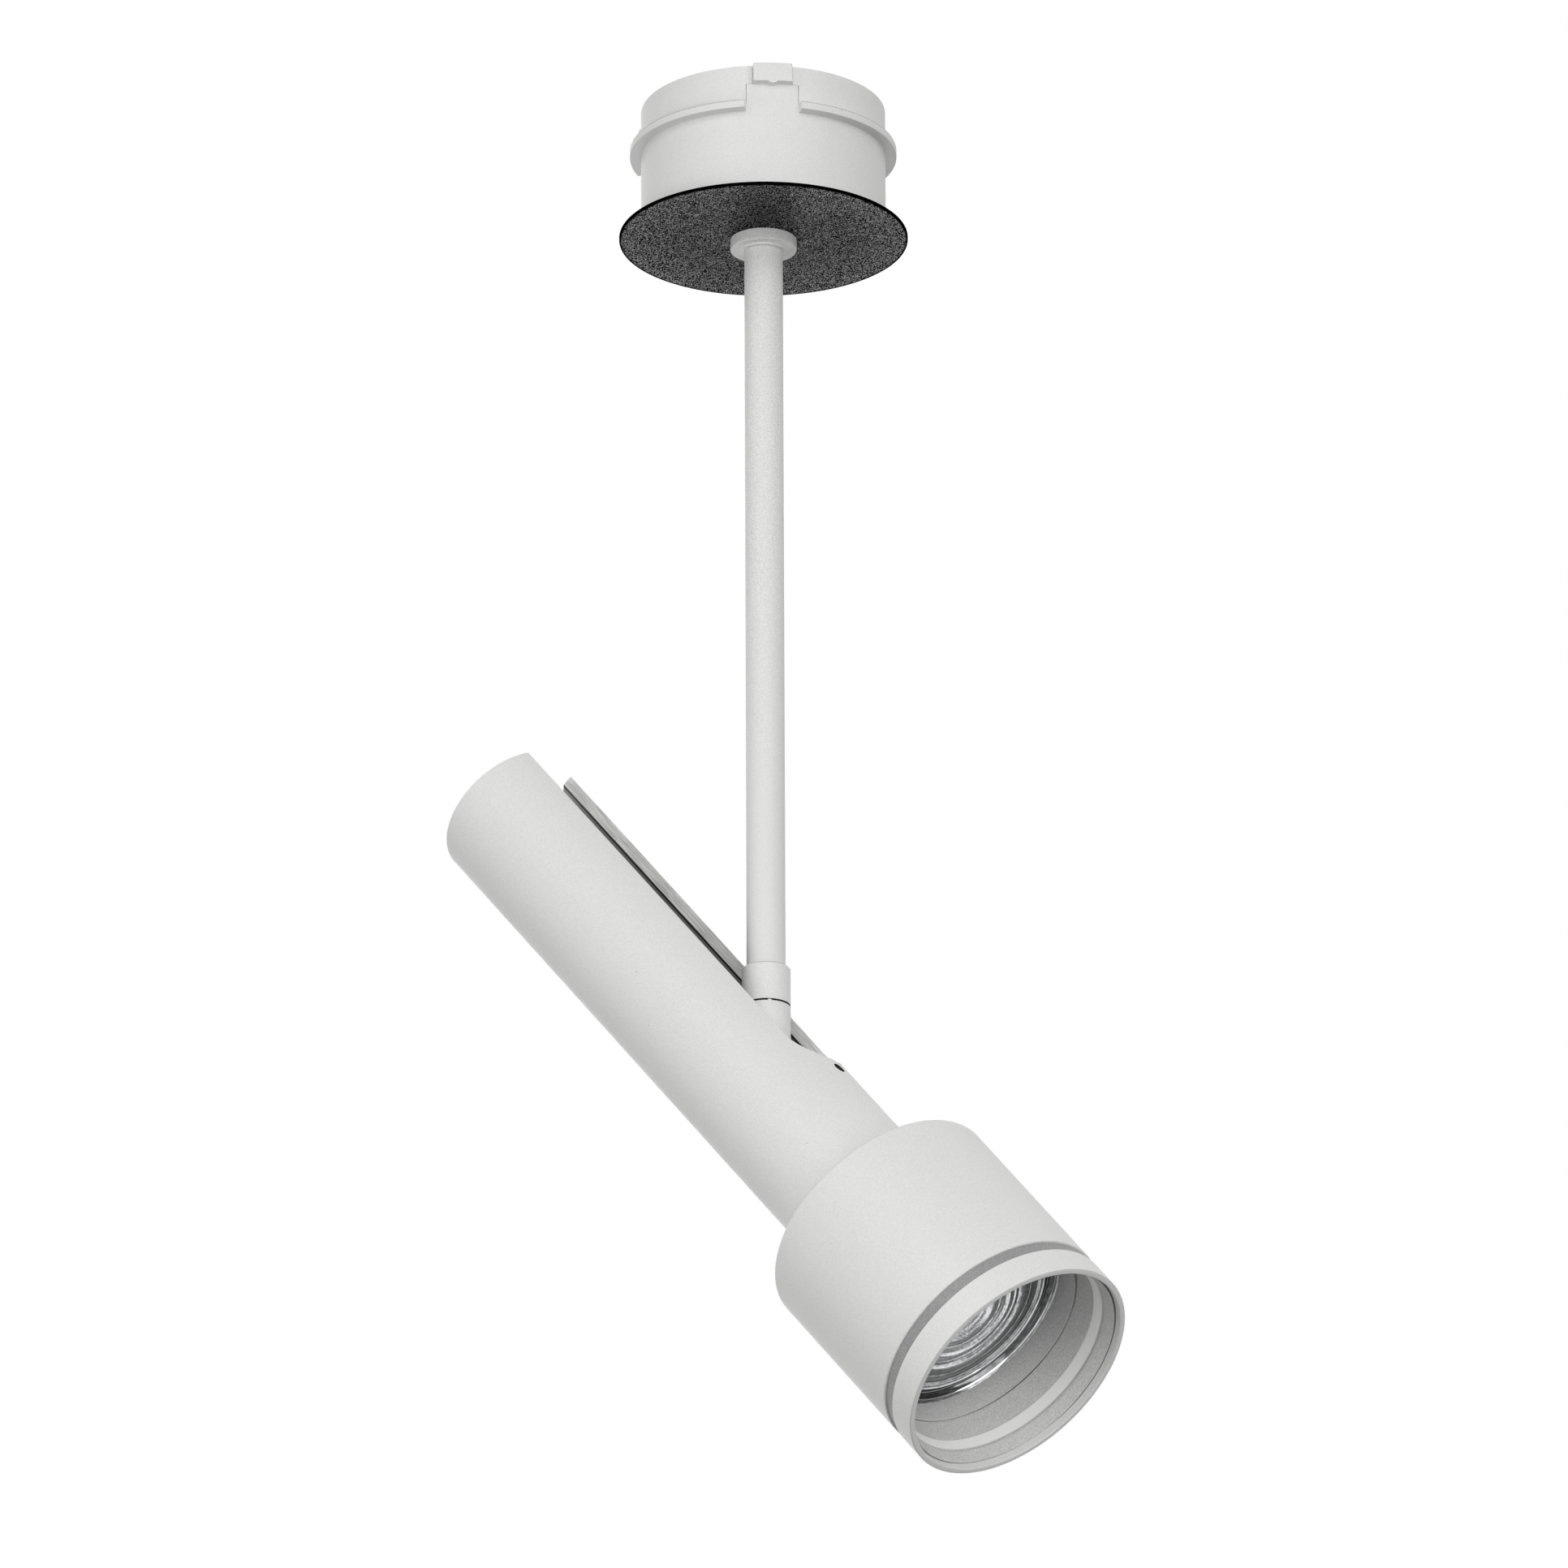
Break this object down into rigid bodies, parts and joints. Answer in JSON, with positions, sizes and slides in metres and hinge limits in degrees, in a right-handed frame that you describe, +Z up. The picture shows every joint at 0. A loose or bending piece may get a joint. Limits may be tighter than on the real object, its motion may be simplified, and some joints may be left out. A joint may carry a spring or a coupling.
{
  "type": "recessed spotlight",
  "caption": "Semi-recessed ceiling spotlight: snap-in recess cup with cover disc, drop stem with swivel, slotted tilting tube and a cylindrical head with a ringed lens.",
  "frame": {"origin": "centre of the cover disc's upper face, which lies against the ceiling", "axes": "+Z up along the stem into the ceiling, +X the way the lamp points at rest, tilt plane XZ"},
  "size_m": [0.1913, 0.075, 0.3803],
  "materials": {
    "white_powder_coat": "fine matte powder coat",
    "dark_powder_coat": "fine sandy texture",
    "cup_plastic": "moulded, matte",
    "inner_plastic": "moulded",
    "opal_plastic": "opal, satin",
    "driver_plastic": "moulded",
    "black_rubber": "moulded",
    "plain_steel": "plain",
    "zinc_steel": "zinc plated",
    "raw_aluminium": "turned, uncoated",
    "brass": "plain",
    "led_phosphor": "phosphor",
    "clear_lens": "clear, stepped rings"
  },
  "bodies": {
    "ceiling_unit": {"recess_cup": "cup_plastic", "cup_lid": "inner_plastic", "lid_screws": "zinc_steel", "cable_grommet": "black_rubber", "led_driver": "driver_plastic", "terminal_block": "inner_plastic", "terminal_screws": "brass", "cable_clamp": "inner_plastic", "clamp_screws": "zinc_steel", "cover_disc": "dark_powder_coat", "stem_flange": "white_powder_coat", "stem_tube": "white_powder_coat", "lock_washer": "plain_steel", "stem_locknut": "plain_steel", "swivel_collar": "white_powder_coat"},
    "front_latch": {"latch_front": "cup_plastic"},
    "left_latch": {"latch_left": "cup_plastic"},
    "right_latch": {"latch_right": "cup_plastic"},
    "swivel": {"swivel_spigot": "plain_steel", "friction_washer": "black_rubber", "swivel_knuckle": "white_powder_coat"},
    "lamp": {"body_tube": "white_powder_coat", "hinge_yoke": "raw_aluminium", "pivot_washers": "plain_steel", "pivot_bolt": "plain_steel", "pivot_nut": "plain_steel", "hinge_screw": "plain_steel", "tube_plug": "raw_aluminium", "head_shell": "white_powder_coat", "tube_nut": "raw_aluminium", "head_screws": "zinc_steel", "heat_sink": "raw_aluminium", "led_board": "inner_plastic", "board_screws": "zinc_steel", "led_emitter": "led_phosphor", "led_holder": "inner_plastic", "lens_seat": "inner_plastic", "lens": "clear_lens", "baffle_ring": "white_powder_coat", "diffuser_ring": "opal_plastic", "front_bezel": "white_powder_coat"}
  },
  "joints": [
    {"name": "stem_swivel", "type": "hinge", "parent": "ceiling_unit", "child": "swivel", "pos_m": [0, 0, -0.213], "axis": [0, 0, 1], "range_deg": [-175, 175]},
    {"name": "head_tilt", "type": "hinge", "parent": "swivel", "child": "lamp", "pos_m": [0, 0, -0.2365], "axis": [0, -1, 0], "range_deg": [-40, 50]},
    {"name": "front_latch_flex", "type": "hinge", "parent": "ceiling_unit", "child": "front_latch", "pos_m": [0.01822, -0.02508, 0.02495], "axis": [-0.809, -0.5878, 0], "range_deg": [0, 12], "stiffness_Nm_per_rad": 0.6},
    {"name": "left_latch_flex", "type": "hinge", "parent": "ceiling_unit", "child": "left_latch", "pos_m": [-0.03083, -0.00324, 0.02495], "axis": [-0.1045, 0.9945, 0], "range_deg": [0, 12], "stiffness_Nm_per_rad": 0.6},
    {"name": "right_latch_flex", "type": "hinge", "parent": "ceiling_unit", "child": "right_latch", "pos_m": [0.01261, 0.02832, 0.02495], "axis": [0.9135, -0.4067, 0], "range_deg": [0, 12], "stiffness_Nm_per_rad": 0.6}
  ]
}
